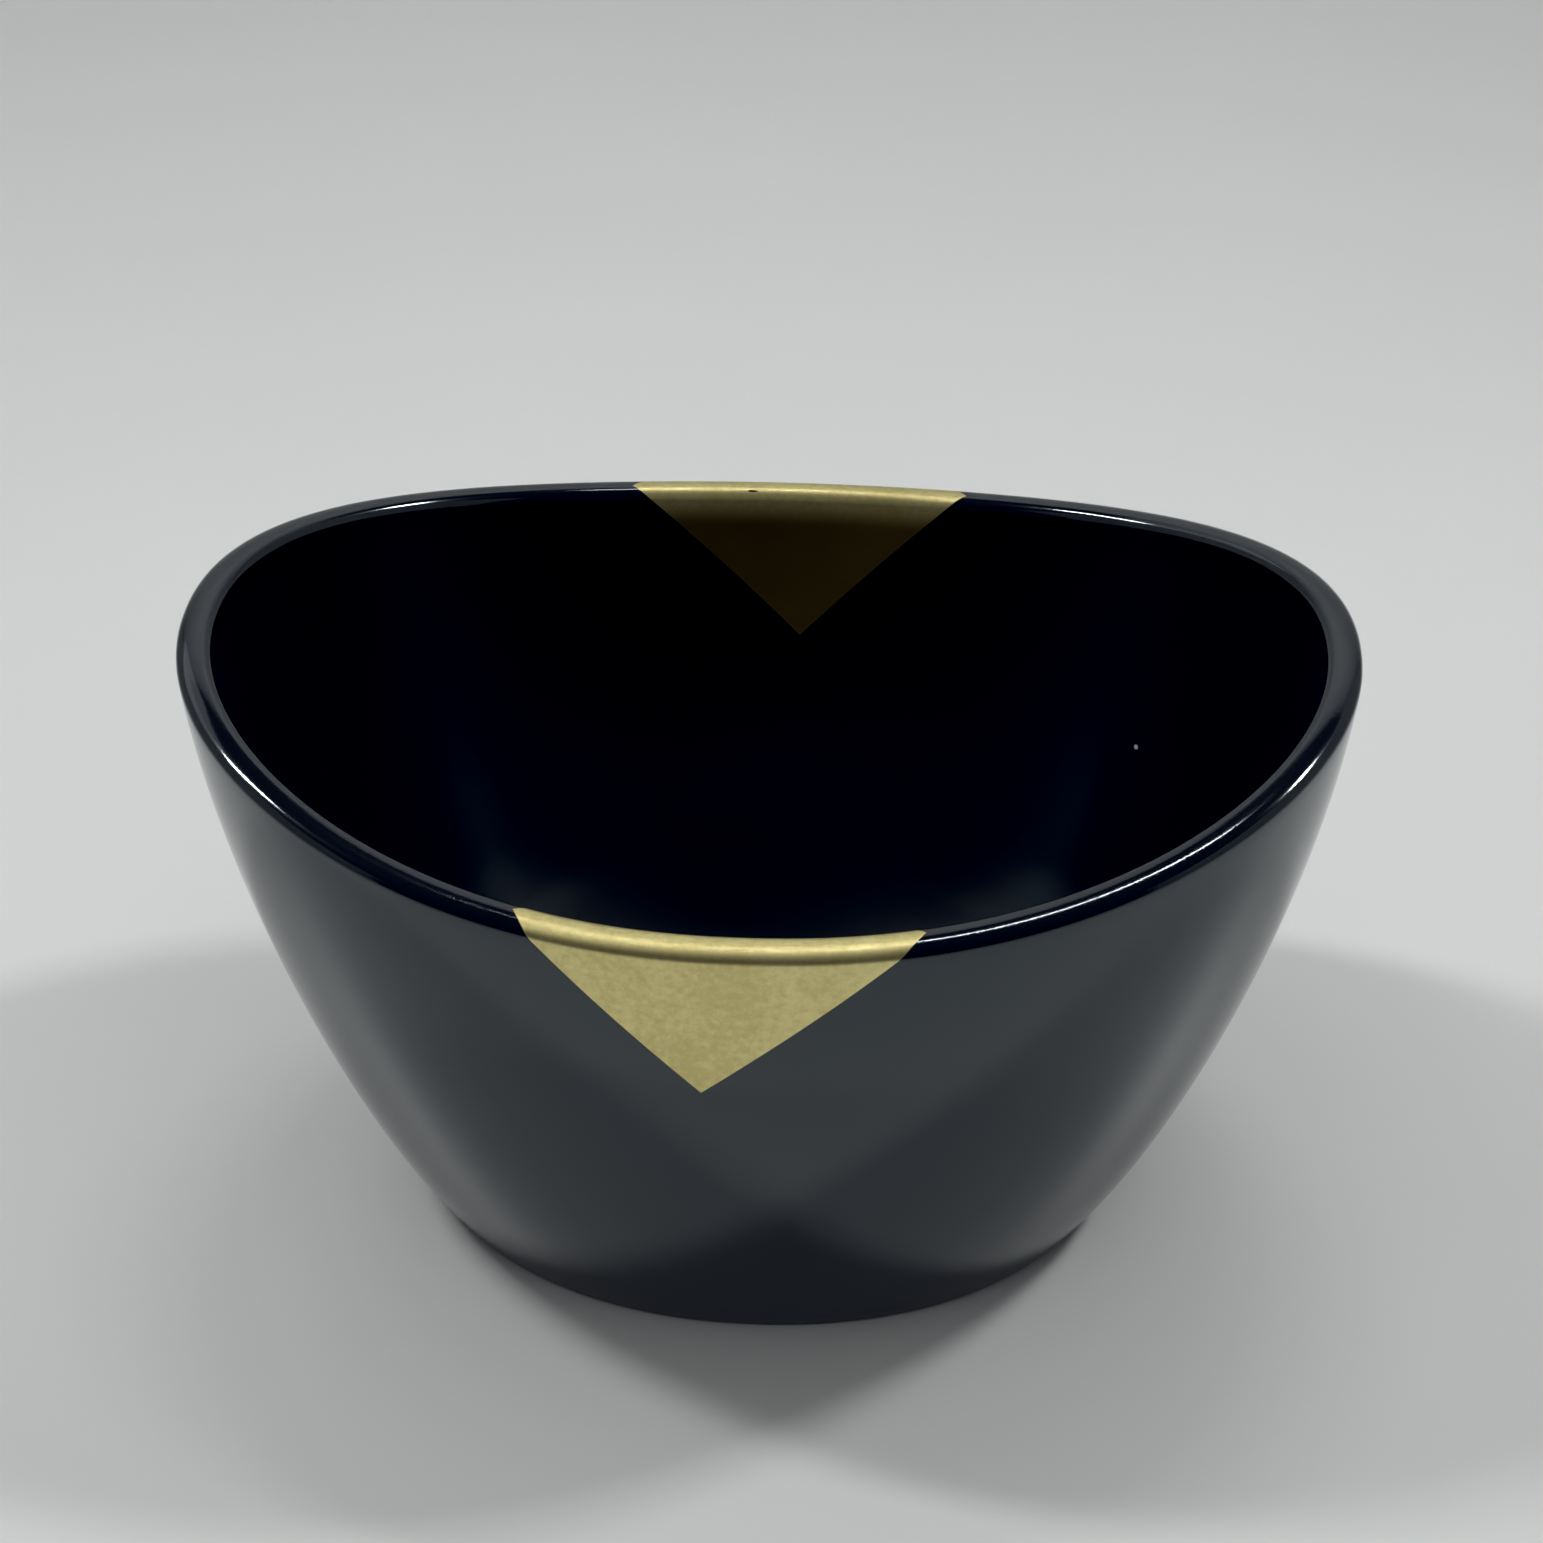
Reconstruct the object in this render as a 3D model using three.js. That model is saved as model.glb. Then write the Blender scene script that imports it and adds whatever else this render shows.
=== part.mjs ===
// A black lacquered oval bowl: a thin-walled vessel whose rim rises to both ends, on a flat foot.
// Millimetres, +Z up. The long way runs along X and the side that faces the viewer is at -Y.
// The origin is in the middle of the underside, on the surface that the bowl stands on.
// A section of the wall is a row of stations, each a point for every direction round the bowl:
// out across the underside, up the outside, over the lip, down the inside and across the floor.

import * as THREE from "three";
import { ParametricGeometry } from "three/addons/geometries/ParametricGeometry.js";
import { mergeVertices } from "three/addons/utils/BufferGeometryUtils.js";

// Overall size: the rim is highest at the two ends and lowest half way along the sides.
// LENGTH and DEPTH are the plan at the height of the ends, before the lip is rounded.
const LENGTH = 150;
const DEPTH = 113.4;
const END_HEIGHT = 84.2;
const SIDE_HEIGHT = 73.6;

// Foot: a flat ring round a shallow recess, with its outer edge broken
const FOOT_LENGTH = 95.2;
const FOOT_DEPTH = 79.8;
const FOOT_RING_WIDTH = 7;
const FOOT_EDGE_ROUND = 0.5;
const RECESS_DEPTH = 1.2;
const RECESS_SLOPE_WIDTH = 1.5;

// Wall: even at the lip and a little heavier towards the foot, as it is carved. The lip's inner
// edge is a plain round, a narrow flat is left on top, and the outer edge is crowned over the rest.
const LIP_WALL = 4.6;
const FOOT_WALL = 6;
const LIP_INNER_ROUND = 1.5;
const LIP_FLAT = 0.3;
const LIP_OUTER_DROP = 1.6;
const LIP_OUTER_WIDTH = LIP_WALL - LIP_INNER_ROUND - LIP_FLAT;

// Inside: a flat floor that sweeps up into the wall
const FLOOR_THICKNESS = 6;
const FLOOR_ROUND = 18;

// Form, as shares: how square the plan is (2 is an ellipse), how late the rim starts to rise,
// and the two handles of the curve that the outside follows from the foot (0, 0) to the rim (1, 1)
const PLAN_SQUARENESS = 2.1;
const RIM_RISE = 2.3;
const FOOT_HANDLE = new THREE.Vector2(0.426, 0.179);
const RIM_HANDLE = new THREE.Vector2(0.936, 0.654);

// Fineness of the facets
const SIDES_ROUND = 72;
const OUTER_WALL_STEPS = 11;
const INNER_WALL_STEPS = 8;
const OUTER_LIP_STEPS = 4;
const INNER_LIP_STEPS = 3;
const FLOOR_ROUND_STEPS = 6;
const FOOT_EDGE_STEPS = 2;
const CURVE_HALVINGS = 32;

const LACQUER_COLOUR = 0x0b0b0d;
const LACQUER_ROUGHNESS = 0.18;

const QUARTER_TURN = Math.PI / 2;
const FULL_TURN = Math.PI * 2;

const wallCurve = new THREE.CubicBezierCurve(
  new THREE.Vector2(0, 0),
  FOOT_HANDLE,
  RIM_HANDLE,
  new THREE.Vector2(1, 1),
);

// How far the outside has spread from the foot (0) to the rim (1) at a height, by halving the curve
function spreadAt(z) {
  let low = 0;
  let high = 1;
  for (let halving = 0; halving < CURVE_HALVINGS; halving += 1) {
    const middle = (low + high) / 2;
    if (wallCurve.getPoint(middle).y < z / END_HEIGHT) {
      low = middle;
    } else {
      high = middle;
    }
  }
  return wallCurve.getPoint(high).x;
}

// The point z up and so far inwards from the outside of the wall, square to the plan's outline
function wallPoint(angle, z, inwards) {
  const spread = spreadAt(z);
  const halfLength = THREE.MathUtils.lerp(FOOT_LENGTH, LENGTH, spread) / 2;
  const halfDepth = THREE.MathUtils.lerp(FOOT_DEPTH, DEPTH, spread) / 2;
  const along = Math.cos(angle);
  const across = Math.sin(angle);
  const alongShare = Math.abs(along) / halfLength;
  const acrossShare = Math.abs(across) / halfDepth;
  const radius = (alongShare ** PLAN_SQUARENESS + acrossShare ** PLAN_SQUARENESS) ** (-1 / PLAN_SQUARENESS);
  const outward = new THREE.Vector3(
    (Math.sign(along) * alongShare ** (PLAN_SQUARENESS - 1)) / halfLength,
    (Math.sign(across) * acrossShare ** (PLAN_SQUARENESS - 1)) / halfDepth,
    0,
  ).normalize();
  return new THREE.Vector3(radius * along, radius * across, z).addScaledVector(outward, -inwards);
}

function rimHeight(angle) {
  const endShare = Math.abs(wallPoint(angle, END_HEIGHT, 0).x) / (LENGTH / 2);
  return THREE.MathUtils.lerp(SIDE_HEIGHT, END_HEIGHT, endShare ** RIM_RISE);
}

// The wall's thickness, measured level, at a height
function thickness(angle, z) {
  return THREE.MathUtils.lerp(FOOT_WALL, LIP_WALL, z / rimHeight(angle));
}

// Stations at even steps, each worked out from its share of the way, both ends included
function steps(count, place) {
  return Array.from({ length: count + 1 }, (_, step) => (angle) => place(angle, step / count));
}

// Stations round a quarter turn: place gets how far the arc has gone across and how far up, as shares
function quarter(count, place) {
  return steps(count, (angle, share) => {
    const turn = share * QUARTER_TURN;
    return place(angle, 1 - Math.cos(turn), Math.sin(turn));
  });
}

function underside() {
  return [
    () => new THREE.Vector3(0, 0, RECESS_DEPTH),
    (angle) => wallPoint(angle, 0, FOOT_RING_WIDTH + RECESS_SLOPE_WIDTH).setZ(RECESS_DEPTH),
    (angle) => wallPoint(angle, 0, FOOT_RING_WIDTH),
  ];
}

function footEdge() {
  return quarter(FOOT_EDGE_STEPS, (angle, across, up) => {
    const z = FOOT_EDGE_ROUND * across;
    return wallPoint(angle, z, FOOT_EDGE_ROUND * (1 - up));
  });
}

function outside() {
  const wall = steps(OUTER_WALL_STEPS, (angle, share) => {
    const top = rimHeight(angle) - LIP_OUTER_DROP;
    return wallPoint(angle, THREE.MathUtils.lerp(FOOT_EDGE_ROUND, top, share), 0);
  });
  return wall.slice(1, -1);
}

function lip() {
  const outer = quarter(OUTER_LIP_STEPS, (angle, across, up) => {
    const z = rimHeight(angle) - LIP_OUTER_DROP * (1 - up);
    return wallPoint(angle, z, LIP_OUTER_WIDTH * across);
  });
  const inner = quarter(INNER_LIP_STEPS, (angle, across, up) => {
    const z = rimHeight(angle) - LIP_INNER_ROUND * (1 - up);
    return wallPoint(angle, z, LIP_WALL - LIP_INNER_ROUND * across);
  });
  return [...outer, ...inner.reverse()];
}

function inside() {
  const bottom = FLOOR_THICKNESS + FLOOR_ROUND;
  const wall = steps(INNER_WALL_STEPS, (angle, share) => {
    const z = THREE.MathUtils.lerp(rimHeight(angle) - LIP_INNER_ROUND, bottom, share);
    return wallPoint(angle, z, thickness(angle, z));
  });
  const sweep = quarter(FLOOR_ROUND_STEPS, (angle, across, up) => {
    const z = bottom - FLOOR_ROUND * up;
    return wallPoint(angle, z, thickness(angle, z) + FLOOR_ROUND * across);
  });
  return [...wall.slice(1, -1), ...sweep, () => new THREE.Vector3(0, 0, FLOOR_THICKNESS)];
}

function bowl() {
  const stations = [...underside(), ...footEdge(), ...outside(), ...lip(), ...inside()];
  const last = stations.length - 1;
  const surface = new ParametricGeometry(
    (round, up, target) => target.copy(stations[Math.round(up * last)]((round % 1) * FULL_TURN)),
    SIDES_ROUND,
    last,
  );
  surface.deleteAttribute("normal");
  surface.deleteAttribute("uv");
  const geometry = mergeVertices(surface);
  geometry.computeVertexNormals();
  const lacquer = new THREE.MeshStandardMaterial({
    color: LACQUER_COLOUR,
    roughness: LACQUER_ROUGHNESS,
    metalness: 0,
  });
  const mesh = new THREE.Mesh(geometry, lacquer);
  mesh.name = "bowl";
  return mesh;
}

const part = new THREE.Group();
part.add(bowl());

export default part;
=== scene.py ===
"""An oval bowl in black lacquer, with a gold triangle hanging from the lip on each long side.

The bowl is spun from one section and drawn out to its oval plan. Metres, +Z up, the long way
along X, and the side that faces the viewer at -Y.
"""

import math

import bmesh
import bpy
from mathutils import Matrix, Vector


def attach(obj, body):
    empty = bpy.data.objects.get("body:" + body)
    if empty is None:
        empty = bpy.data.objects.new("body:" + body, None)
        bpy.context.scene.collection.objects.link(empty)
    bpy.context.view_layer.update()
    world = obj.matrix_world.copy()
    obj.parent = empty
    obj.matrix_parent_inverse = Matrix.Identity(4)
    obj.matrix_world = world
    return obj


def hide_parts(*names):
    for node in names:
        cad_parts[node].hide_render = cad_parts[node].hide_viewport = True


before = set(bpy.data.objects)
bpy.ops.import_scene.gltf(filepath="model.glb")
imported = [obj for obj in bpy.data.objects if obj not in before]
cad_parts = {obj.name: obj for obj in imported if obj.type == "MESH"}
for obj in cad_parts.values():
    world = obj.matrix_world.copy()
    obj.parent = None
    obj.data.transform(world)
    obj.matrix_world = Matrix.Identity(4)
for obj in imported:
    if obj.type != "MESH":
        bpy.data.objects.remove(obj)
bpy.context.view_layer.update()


# The bowl: one piece of close-grained wood, turned and carved to an oval whose rim rises to
# both ends. The lip is crowned outside, with a narrow flat on top and a plain round inside. The
# wall is a little heavier towards the foot, a flat ring round a shallow recess.

LENGTH = 0.150
DEPTH = 0.1134
END_HEIGHT = 0.0842
SIDE_HEIGHT = 0.0736
FOOT_LENGTH = 0.0952
FOOT_DEPTH = 0.0798
FOOT_RING_WIDTH = 0.007
FOOT_EDGE_ROUND = 0.0005
RECESS_DEPTH = 0.0012
RECESS_SLOPE_WIDTH = 0.0015
LIP_WALL = 0.0046
FOOT_WALL = 0.006
LIP_OUTER_DROP = 0.0016
LIP_OUTER_WIDTH = 0.0028
LIP_INNER_ROUND = 0.0015
FLOOR_THICKNESS = 0.006
FLOOR_ROUND = 0.018
PLAN_SQUARENESS = 2.1
RIM_RISE = 2.3
FOOT_HANDLE = Vector((0.426, 0.179))
RIM_HANDLE = Vector((0.936, 0.654))

SIDES_ROUND = 288
CURVE_HALVINGS = 26


def mix(low, high, share):
    return low + (high - low) * share


def curve_point(share):
    """The curve that the outside follows, from the foot (0, 0) to the rim (1, 1)."""
    back = 1 - share
    rising = 3 * back * back * share * FOOT_HANDLE
    closing = 3 * back * share * share * RIM_HANDLE
    return rising + closing + share**3 * Vector((1, 1))


def spread_at(height):
    """How far the outside has spread from the foot (0) to the rim (1), by halving the curve."""
    low = 0
    high = 1
    for halving in range(CURVE_HALVINGS):
        middle = (low + high) / 2
        if curve_point(middle).y < height / END_HEIGHT:
            low = middle
        else:
            high = middle
    return curve_point(high).x


def wall_point(angle, height, inwards):
    """The point so far inwards from the outside of the wall, square to the plan's outline."""
    spread = spread_at(height)
    half_length = mix(FOOT_LENGTH, LENGTH, spread) / 2
    half_depth = mix(FOOT_DEPTH, DEPTH, spread) / 2
    along = math.cos(angle)
    across = math.sin(angle)
    along_share = abs(along) / half_length
    across_share = abs(across) / half_depth
    reach = along_share**PLAN_SQUARENESS + across_share**PLAN_SQUARENESS
    radius = reach ** (-1 / PLAN_SQUARENESS)
    outward = Vector(
        (
            math.copysign(along_share ** (PLAN_SQUARENESS - 1), along) / half_length,
            math.copysign(across_share ** (PLAN_SQUARENESS - 1), across) / half_depth,
            0,
        )
    ).normalized()
    return Vector((radius * along, radius * across, height)) - outward * inwards


def rim_height(angle):
    end_share = abs(wall_point(angle, END_HEIGHT, 0).x) / (LENGTH / 2)
    return mix(SIDE_HEIGHT, END_HEIGHT, end_share**RIM_RISE)


def thickness(angle, height):
    """The wall's thickness, measured level."""
    return mix(FOOT_WALL, LIP_WALL, height / rim_height(angle))


def recess_bottom(angle, share):
    edge = FOOT_RING_WIDTH + RECESS_SLOPE_WIDTH
    spot = wall_point(angle, 0, edge) * share
    return Vector((spot.x, spot.y, RECESS_DEPTH))


def recess_slope(angle, share):
    spot = wall_point(angle, 0, FOOT_RING_WIDTH + RECESS_SLOPE_WIDTH * (1 - share))
    spot.z = RECESS_DEPTH * (1 - share * share * (3 - 2 * share))
    return spot


def foot_ring(angle, share):
    return wall_point(angle, 0, mix(FOOT_RING_WIDTH, FOOT_EDGE_ROUND, share))


def foot_edge(angle, share):
    turn = share * math.pi / 2
    height = FOOT_EDGE_ROUND * (1 - math.cos(turn))
    return wall_point(angle, height, FOOT_EDGE_ROUND * (1 - math.sin(turn)))


def outer_wall(angle, share):
    top = rim_height(angle) - LIP_OUTER_DROP
    return wall_point(angle, mix(FOOT_EDGE_ROUND, top, share), 0)


def outer_lip(angle, share):
    turn = share * math.pi / 2
    height = rim_height(angle) - LIP_OUTER_DROP * (1 - math.sin(turn))
    return wall_point(angle, height, LIP_OUTER_WIDTH * (1 - math.cos(turn)))


def lip_top(angle, share):
    inwards = mix(LIP_OUTER_WIDTH, LIP_WALL - LIP_INNER_ROUND, share)
    return wall_point(angle, rim_height(angle), inwards)


def inner_lip(angle, share):
    turn = (1 - share) * math.pi / 2
    height = rim_height(angle) - LIP_INNER_ROUND * (1 - math.sin(turn))
    return wall_point(angle, height, LIP_WALL - LIP_INNER_ROUND * (1 - math.cos(turn)))


def inner_wall(angle, share):
    top = rim_height(angle) - LIP_INNER_ROUND
    height = mix(top, FLOOR_THICKNESS + FLOOR_ROUND, share)
    return wall_point(angle, height, thickness(angle, height))


def floor_sweep(angle, share):
    turn = share * math.pi / 2
    height = FLOOR_THICKNESS + FLOOR_ROUND * (1 - math.sin(turn))
    inwards = thickness(angle, height) + FLOOR_ROUND * (1 - math.cos(turn))
    return wall_point(angle, height, inwards)


def floor_middle(angle, share):
    spot = floor_sweep(angle, 1) * (1 - share)
    return Vector((spot.x, spot.y, FLOOR_THICKNESS))


# Each stretch of the section, from the middle of the underside to the middle of the floor
# inside, with the number of steps that it is cut into.
STRETCHES = (
    (recess_bottom, 4),
    (recess_slope, 8),
    (foot_ring, 3),
    (foot_edge, 5),
    (outer_wall, 36),
    (outer_lip, 14),
    (lip_top, 6),
    (inner_lip, 10),
    (inner_wall, 26),
    (floor_sweep, 16),
    (floor_middle, 4),
)
stations = [(recess_bottom, 0)]
for stretch, steps in STRETCHES:
    if stretch is lip_top:
        lip_middle = len(stations) - 1 + steps // 2
    for step in range(steps):
        stations.append((stretch, (step + 1) / steps))

bowl_mesh = bmesh.new()
station_of = bowl_mesh.verts.layers.float.new("station")
unrolled = bowl_mesh.verts.layers.float_vector.new("unrolled")
section = []
for number, (stretch, share) in enumerate(stations):
    spot = bowl_mesh.verts.new(stretch(0, share))
    spot[station_of] = number
    section.append(spot)
section += [bowl_mesh.edges.new(pair) for pair in zip(section, section[1:])]
bmesh.ops.spin(
    bowl_mesh,
    geom=section,
    cent=(0, 0, 0),
    axis=(0, 0, 1),
    dvec=(0, 0, 0),
    angle=math.tau,
    steps=SIDES_ROUND,
    use_merge=True,
)
bmesh.ops.remove_doubles(bowl_mesh, verts=bowl_mesh.verts, dist=1e-7)

# The spun bowl is round. Every point is set where the oval plan and the rising rim have it,
# and told how far along the lip and how far down the wall from the lip's middle it lies.
round_points = []
lip_reach = [0]
for side in range(SIDES_ROUND):
    angle = side * math.tau / SIDES_ROUND
    round_points.append([stretch(angle, share) for stretch, share in stations])
for side in range(SIDES_ROUND // 4):
    here = round_points[SIDES_ROUND // 4 - side][lip_middle]
    after = round_points[SIDES_ROUND // 4 - side - 1][lip_middle]
    lip_reach.append(lip_reach[-1] + (after - here).length)

wall_reach = []
for points in round_points:
    reach = [0] * len(points)
    for number in range(lip_middle, 0, -1):
        reach[number - 1] = reach[number] + (points[number] - points[number - 1]).length
    for number in range(lip_middle + 1, len(points)):
        reach[number] = reach[number - 1] - (points[number] - points[number - 1]).length
    wall_reach.append(reach)

for spot in bowl_mesh.verts:
    number = round(spot[station_of])
    angle = math.atan2(spot.co.y, spot.co.x)
    side = round(angle / math.tau * SIDES_ROUND) % SIDES_ROUND
    spot.co = round_points[side][number]
    quarter = SIDES_ROUND // 4
    past_middle = abs(side % (2 * quarter) - quarter)
    along = math.copysign(lip_reach[past_middle], spot.co.x)
    spot[unrolled] = (along, wall_reach[side][number], math.copysign(1, spot.co.y))
bmesh.ops.recalc_face_normals(bowl_mesh, faces=bowl_mesh.faces)
for face in bowl_mesh.faces:
    face.smooth = True

bowl_data = bpy.data.meshes.new("lacquer_bowl")
bowl_mesh.to_mesh(bowl_data)
bowl_mesh.free()
bowl = bpy.data.objects.new("lacquer_bowl", bowl_data)
bpy.context.scene.collection.objects.link(bowl)


class Strand:
    """A value on its way through a shader. Python's own signs add the Math nodes."""

    def __init__(self, finish, socket):
        self.finish = finish
        self.socket = socket

    def __add__(self, other):
        return self.finish.work("ADD", self, other)

    def __sub__(self, other):
        return self.finish.work("SUBTRACT", self, other)

    def __rsub__(self, other):
        return self.finish.work("SUBTRACT", other, self)

    def __mul__(self, other):
        return self.finish.work("MULTIPLY", self, other)

    def __truediv__(self, other):
        return self.finish.work("DIVIDE", self, other)

    def __abs__(self):
        return self.finish.work("ABSOLUTE", self)

    __radd__ = __add__
    __rmul__ = __mul__


class Finish:
    """A material that is put together node by node."""

    def __init__(self, name):
        self.material = bpy.data.materials.new(name)
        self.material.use_nodes = True
        self.tree = self.material.node_tree
        self.tree.nodes.clear()

    def node(self, kind, settings, sockets, result=0):
        """Adds a node: first its settings, then a value or a link for each socket named."""
        made = self.tree.nodes.new(kind)
        for setting, value in settings.items():
            setattr(made, setting, value)
        for name, value in sockets.items():
            if isinstance(value, Strand):
                self.tree.links.new(value.socket, made.inputs[name])
            else:
                made.inputs[name].default_value = value
        return Strand(self, made.outputs[result]) if made.outputs else made

    def work(self, operation, *values):
        return self.node("ShaderNodeMath", {"operation": operation}, dict(enumerate(values)))

    def blend(self, first, second, share):
        """One colour passing into another as share goes from 0 to 1."""
        sockets = {0: share, 6: first, 7: second}
        return self.node("ShaderNodeMix", {"data_type": "RGBA"}, sockets, 2)

    def step(self, value, start, end):
        """0 below start, 1 above end and smooth between them."""
        sockets = {"Value": value, "From Min": start, "From Max": end}
        return self.node("ShaderNodeMapRange", {"interpolation_type": "SMOOTHSTEP"}, sockets)

    def noise(self, place, scale, detail, roughness=0.5):
        sockets = {"Vector": place, "Scale": scale, "Detail": detail, "Roughness": roughness}
        return self.node("ShaderNodeTexNoise", {}, sockets)


# The lacquer is black, rubbed down to a satin gloss, with a faint unevenness that breaks up
# what it mirrors. Each gold triangle is leaf or powder laid flat over the lip. The front one
# hangs down the outside, the back one down the inside.

LACQUER_COLOUR = (0.004, 0.0042, 0.0065, 1)
LACQUER_SHEEN = (0.83, 0.94, 0.99, 1)
LACQUER_REFRACTION = 1.7
LACQUER_ROUGHNESS = 0.095
LACQUER_UNEVENNESS = 0.05
LACQUER_CLOUD_SCALE = 60
INSIDE_ROUGHNESS = 0.26
INSIDE_START = -0.002
INSIDE_END = -0.005
GOLD_COLOUR = (0.80, 0.705, 0.33, 1)
GOLD_SHADE = (0.66, 0.565, 0.24, 1)
GOLD_ROUGHNESS = 0.43
GOLD_UNEVENNESS = 0.16
GOLD_EDGE = 0.00008
# Painted shade: further down the wall inside the bowl, the gold passes into a darker brown where less
# light falls.
GOLD_PAINTED_SHADE = (0.52, 0.36, 0.11, 1)
GOLD_PAINTED_SHADE_START = -0.001
GOLD_PAINTED_SHADE_END = -0.0065
LEAF_GRAIN_SCALE = 900
LEAF_CLOUD_SCALE = 120
LEAF_GRAIN_SHARE = 0.6
LIP_INNER_EDGE = -0.0021
LIP_OUTER_EDGE = 0.0036

FRONT_MIDDLE = -0.00265
FRONT_HALF_WIDTH = 0.02425
FRONT_REACH = 0.0252
FRONT_LEAN = -0.00225
BACK_MIDDLE = 0.0014
BACK_HALF_WIDTH = 0.0239
BACK_REACH = 0.0231
BACK_LEAN = -0.0004

# Under the back lip the powder lies loose, so the gold is duller there.
POWDER_START = -0.0010
POWDER_MIDDLE = -0.0028
POWDER_END = -0.0062
POWDER_DULLNESS = 0.4

# A dark fleck in the gold on the back lip, and a speck of dust on the wall inside.
FLECK_COLOUR = (0.05, 0.035, 0.02, 1)
FLECK_PLACE = Vector((-0.00524, 0.05194, 0.0736))
FLECK_REACH = Vector((0.0009, 0.00022, 0.0004))
DUST_COLOUR = (0.55, 0.58, 0.60, 1)
DUST_PLACE = Vector((0.04996, 0.02992, 0.04649))
DUST_REACH = Vector((0.00035, 0.00035, 0.00035))
FLECK_CORE = 0.8
FLECK_EDGE = 1.15

# Rubbing leaves a grain in the lacquer that is finer than it can be felt.
RUBBED_GRAIN_SCALE = 2400
RUBBED_GRAIN_SHARE = 0.6
LACQUER_CLOUD_SHARE = 0.5
RELIEF_STRENGTH = 0.25
RELIEF_HEIGHT = 0.00004

lacquer = Finish("black_lacquer_and_gold")
unrolled_place = lacquer.node("ShaderNodeAttribute", {"attribute_name": "unrolled"}, {}, 1)
split = lacquer.node("ShaderNodeSeparateXYZ", {}, {0: unrolled_place})
along_lip = Strand(lacquer, split.socket.node.outputs["X"])
down_wall = Strand(lacquer, split.socket.node.outputs["Y"])
at_back = lacquer.step(Strand(lacquer, split.socket.node.outputs["Z"]), -0.5, 0.5)
place = lacquer.node("ShaderNodeTexCoord", {}, {}, 3)


def gold_triangle(middle, half_width, reach, lean, past_lip):
    """1 on a triangle that hangs from the lip and covers it to its far edge, 0 elsewhere."""
    down = down_wall / reach
    across = (along_lip - middle - down * lean) / half_width
    margin = (1 - abs(across) - abs(down)) * half_width
    return lacquer.step(margin, -GOLD_EDGE, GOLD_EDGE) * past_lip


off_inner_wall = lacquer.step(down_wall, LIP_INNER_EDGE - GOLD_EDGE, LIP_INNER_EDGE + GOLD_EDGE)
off_outer_wall = lacquer.step(down_wall, LIP_OUTER_EDGE + GOLD_EDGE, LIP_OUTER_EDGE - GOLD_EDGE)
front_gold = gold_triangle(FRONT_MIDDLE, FRONT_HALF_WIDTH, FRONT_REACH, FRONT_LEAN, off_inner_wall)
back_gold = gold_triangle(BACK_MIDDLE, BACK_HALF_WIDTH, BACK_REACH, BACK_LEAN, off_outer_wall)
gold = front_gold * (1 - at_back) + back_gold * at_back

leaf_grain = lacquer.noise(place, LEAF_GRAIN_SCALE, 4, 0.7)
leaf_cloud = lacquer.noise(place, LEAF_CLOUD_SCALE, 3, 0.6)
leaf_pattern = leaf_grain * LEAF_GRAIN_SHARE + leaf_cloud * (1 - LEAF_GRAIN_SHARE)
gold_colour = lacquer.blend(GOLD_COLOUR, GOLD_SHADE, lacquer.step(leaf_pattern, 0.35, 0.65))
# Painted shade: the gold is made darker the further it runs down the inside wall.
painted_shade_down_inside = lacquer.step(down_wall, GOLD_PAINTED_SHADE_START, GOLD_PAINTED_SHADE_END)
gold_colour = lacquer.blend(gold_colour, GOLD_PAINTED_SHADE, painted_shade_down_inside)
colour = lacquer.blend(LACQUER_COLOUR, gold_colour, gold)


def fleck(middle, reach):
    """1 on a small spot round a point, so far across each way, and 0 elsewhere."""
    away = lacquer.node("ShaderNodeVectorMath", {"operation": "SUBTRACT"}, {0: place, 1: middle})
    share = lacquer.node("ShaderNodeVectorMath", {"operation": "DIVIDE"}, {0: away, 1: reach})
    size = lacquer.node("ShaderNodeVectorMath", {"operation": "LENGTH"}, {0: share}, 1)
    return lacquer.step(size, FLECK_EDGE, FLECK_CORE)


colour = lacquer.blend(colour, FLECK_COLOUR, fleck(FLECK_PLACE, FLECK_REACH))
colour = lacquer.blend(colour, DUST_COLOUR, fleck(DUST_PLACE, DUST_REACH))

lacquer_cloud = lacquer.noise(place, LACQUER_CLOUD_SCALE, 3, 0.5)
inside = lacquer.step(down_wall, INSIDE_START, INSIDE_END)
lacquer_roughness = (
    lacquer_cloud * LACQUER_UNEVENNESS
    + (LACQUER_ROUGHNESS - LACQUER_UNEVENNESS / 2)
    + inside * (INSIDE_ROUGHNESS - LACQUER_ROUGHNESS)
)
gold_roughness = leaf_grain * GOLD_UNEVENNESS + (GOLD_ROUGHNESS - GOLD_UNEVENNESS / 2)
roughness = lacquer_roughness * (1 - gold) + gold_roughness * gold

past_lip = lacquer.step(down_wall, POWDER_START, POWDER_MIDDLE)
above_end = lacquer.step(down_wall, POWDER_END, POWDER_MIDDLE)
loose_powder = past_lip * above_end

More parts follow.
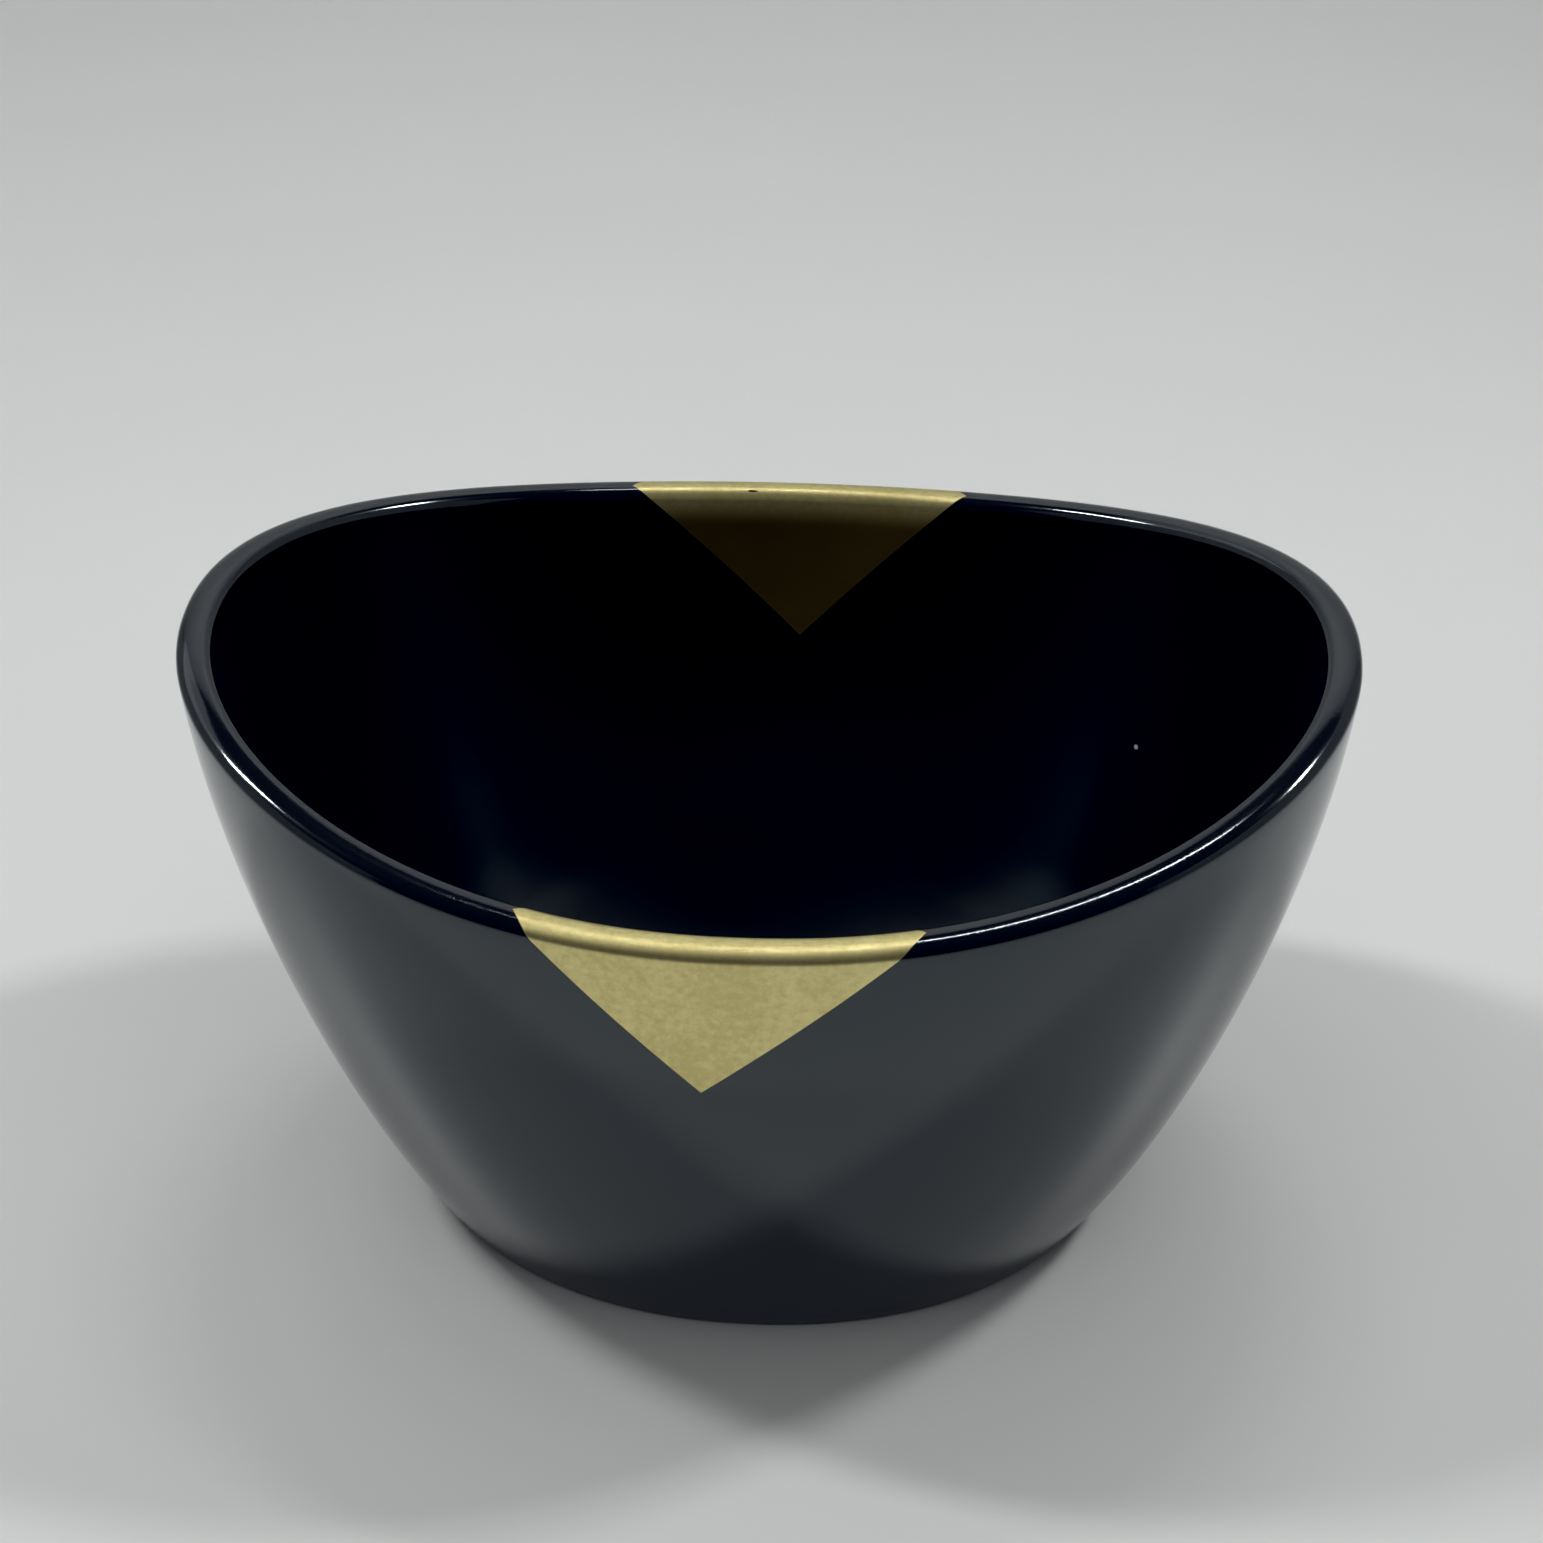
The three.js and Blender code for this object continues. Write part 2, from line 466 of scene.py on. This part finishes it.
rubbed_grain = lacquer.noise(place, RUBBED_GRAIN_SCALE, 2)
lacquer_relief = lacquer_cloud * LACQUER_CLOUD_SHARE + rubbed_grain * RUBBED_GRAIN_SHARE
bump = lacquer.node(
    "ShaderNodeBump",
    {},
    {
        "Strength": RELIEF_STRENGTH,
        "Distance": RELIEF_HEIGHT,
        "Height": leaf_grain * gold + lacquer_relief,
    },
)
surface = lacquer.node(
    "ShaderNodeBsdfPrincipled",
    {},
    {
        "Base Color": colour,
        "Metallic": gold * (1 - loose_powder * POWDER_DULLNESS),
        "Roughness": roughness,
        "IOR": LACQUER_REFRACTION,
        "Specular Tint": LACQUER_SHEEN,
        "Normal": bump,
    },
)
lacquer.node("ShaderNodeOutputMaterial", {}, {"Surface": surface})
bowl_data.materials.append(lacquer.material)

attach(bowl, "root")
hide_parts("bowl")


# The floor: a sheet of pale grey paper that sweeps up into a wall behind the bowl. The greys
# on the bowl are the paper, mirrored in the lacquer.

FLOOR_SIDE = 6.0
FLOOR_BACK = 0.62
SWEEP_ROUND = 0.35
SWEEP_STEPS = 16
BACKDROP_TOP = 1.25
PAPER_COLOUR = (0.70, 0.715, 0.705, 1)
PAPER_SHADE = (0.66, 0.67, 0.665, 1)
PAPER_ROUGHNESS = 0.34
PAPER_CLOUD_SCALE = 9

paper_mesh = bmesh.new()
near = paper_mesh.verts.new((-FLOOR_SIDE / 2, -FLOOR_SIDE / 2, 0))
far = paper_mesh.verts.new((FLOOR_SIDE / 2, -FLOOR_SIDE / 2, 0))
edge = paper_mesh.edges.new((near, far))


def drawn_on(edges, step):
    """Draws the paper's edge on by a step and gives the new edge."""
    made = bmesh.ops.extrude_edge_only(paper_mesh, edges=edges)["geom"]
    corners = [bit for bit in made if isinstance(bit, bmesh.types.BMVert)]
    bmesh.ops.translate(paper_mesh, verts=corners, vec=step)
    return [bit for bit in made if isinstance(bit, bmesh.types.BMEdge)]


edges = drawn_on([edge], (0, FLOOR_BACK + FLOOR_SIDE / 2, 0))
turned = bmesh.ops.spin(
    paper_mesh,
    geom=edges,
    cent=(0, FLOOR_BACK, SWEEP_ROUND),
    axis=(1, 0, 0),
    dvec=(0, 0, 0),
    angle=math.pi / 2,
    steps=SWEEP_STEPS,
)
edges = [bit for bit in turned["geom_last"] if isinstance(bit, bmesh.types.BMEdge)]
drawn_on(edges, (0, 0, BACKDROP_TOP - SWEEP_ROUND))
bmesh.ops.remove_doubles(paper_mesh, verts=paper_mesh.verts, dist=1e-6)
bmesh.ops.recalc_face_normals(paper_mesh, faces=paper_mesh.faces)
for face in paper_mesh.faces:
    face.smooth = True
paper_data = bpy.data.meshes.new("paper_floor")
paper_mesh.to_mesh(paper_data)
paper_mesh.free()
paper = bpy.data.objects.new("paper_floor", paper_data)
bpy.context.scene.collection.objects.link(paper)

pale = Finish("pale_paper")
paper_place = pale.node("ShaderNodeTexCoord", {}, {}, 3)
paper_cloud = pale.noise(paper_place, PAPER_CLOUD_SCALE, 4, 0.55)
paper_tone = pale.blend(PAPER_COLOUR, PAPER_SHADE, paper_cloud)
paper_surface = pale.node(
    "ShaderNodeBsdfPrincipled",
    {},
    {"Base Color": paper_tone, "Roughness": PAPER_ROUGHNESS},
)
pale.node("ShaderNodeOutputMaterial", {}, {"Surface": paper_surface})
paper_data.materials.append(pale.material)


# The side cards: a sheet of the same pale paper stands upright on each side of the bowl,
# outside the picture. The ends of the lip mirror them.

CARD_REACH = 0.85
CARD_THICKNESS = 0.006
CARD_TOP = 1.0
CARD_FRONT = -0.7
CARD_BACK = 0.9

card_mesh = bmesh.new()
for side in (-1, 1):
    card = bmesh.ops.create_cube(card_mesh, size=1)["verts"]
    bmesh.ops.scale(card_mesh, vec=(CARD_THICKNESS, CARD_BACK - CARD_FRONT, CARD_TOP), verts=card)
    middle = (side * CARD_REACH, (CARD_BACK + CARD_FRONT) / 2, CARD_TOP / 2)
    bmesh.ops.translate(card_mesh, vec=middle, verts=card)
card_data = bpy.data.meshes.new("side_cards")
card_mesh.to_mesh(card_data)
card_mesh.free()
cards = bpy.data.objects.new("side_cards", card_data)
bpy.context.scene.collection.objects.link(cards)
card_data.materials.append(pale.material)


# The lamps: two soft boxes above and to the sides, a little behind the bowl. Their shadows
# cross in front of the foot and meet in a point. A strip overhead, a dim window on the left, a
# glow from the ceiling and a wash on the backdrop fill the rest of a dim room.

LEFT_LAMP_PLACE = Vector((-0.655, 0.137, 0.96))
RIGHT_LAMP_PLACE = Vector((0.66, 0.23, 0.90))
STRIP_PLACE = Vector((0.07, 0.5, 1.45))
WINDOW_PLACE = Vector((-0.71, 0.45, 0.75))
CEILING_PLACE = Vector((0, -0.4, 1.6))
WASH_PLACE = Vector((0, 0.2, 1.2))
BOWL_AIM = Vector((0, 0, 0.04))
WASH_AIM = Vector((0, 0.97, 0.85))
ROOM_COLOUR = (0.95, 0.98, 1.0, 1)
ROOM_STRENGTH = 0.04


def soft_box(name, place, aim, width, height, spread, power):
    lamp_data = bpy.data.lights.new(name, "AREA")
    lamp_data.shape = "RECTANGLE"
    lamp_data.size = width
    lamp_data.size_y = height
    lamp_data.spread = math.radians(spread)
    lamp_data.energy = power
    lamp = bpy.data.objects.new(name, lamp_data)
    lamp.location = place
    lamp.rotation_euler = (aim - place).to_track_quat("-Z", "Y").to_euler()
    bpy.context.scene.collection.objects.link(lamp)
    return lamp


soft_box("left_soft_box", LEFT_LAMP_PLACE, BOWL_AIM, width=0.07, height=0.27, spread=84, power=0.90)
soft_box("right_soft_box", RIGHT_LAMP_PLACE, BOWL_AIM, width=0.11, height=0.11, spread=84, power=0.83)
soft_box("strip_light", STRIP_PLACE, BOWL_AIM, width=0.42, height=0.045, spread=75, power=0.40)
soft_box("left_window", WINDOW_PLACE, BOWL_AIM, width=0.6, height=0.5, spread=180, power=0.5)
fill = soft_box("ceiling_glow", CEILING_PLACE, BOWL_AIM, width=1.6, height=1.6, spread=180, power=7.2)
fill.visible_glossy = False
wash = soft_box("backdrop_wash", WASH_PLACE, WASH_AIM, width=1.4, height=0.3, spread=90, power=2.4)
wash.visible_glossy = False

room = bpy.data.worlds.new("dim_room")
room.use_nodes = True
background = room.node_tree.nodes["Background"]
background.inputs["Color"].default_value = ROOM_COLOUR
background.inputs["Strength"].default_value = ROOM_STRENGTH
bpy.context.scene.world = room


# The exposure: what is darker than these levels prints as full black, as in a camera that
# clips the deepest shadows. Blue is cut least, so the black stays a little blue.

BLACK_LEVEL = (0.0052, 0.0047, 0.0020)

view = bpy.context.scene.view_settings
view.view_transform = "Standard"
view.use_curve_mapping = True
view.curve_mapping.black_level = BLACK_LEVEL
view.curve_mapping.update()


# The camera: it looks down at the long side from about 45 cm, turned slightly to the left. Its
# place and lens are fitted to the outline of the bowl.

CAMERA_PLACE = Vector((0.02156, -0.34466, 0.29839))
CAMERA_AIM = Vector((-0.05026, 0.8224, -0.56668))
CAMERA_ROLL = math.radians(-0.106)
CAMERA_LENS = 74.66
CAMERA_SENSOR = 36

camera_data = bpy.data.cameras.new("camera")
camera_data.sensor_width = CAMERA_SENSOR
camera_data.lens = CAMERA_LENS
camera = bpy.data.objects.new("camera", camera_data)
aim = CAMERA_AIM.to_track_quat("-Z", "Y").to_matrix().to_4x4()
camera.matrix_world = Matrix.Translation(CAMERA_PLACE) @ aim @ Matrix.Rotation(CAMERA_ROLL, 4, "Z")
bpy.context.scene.collection.objects.link(camera)
bpy.context.scene.camera = camera
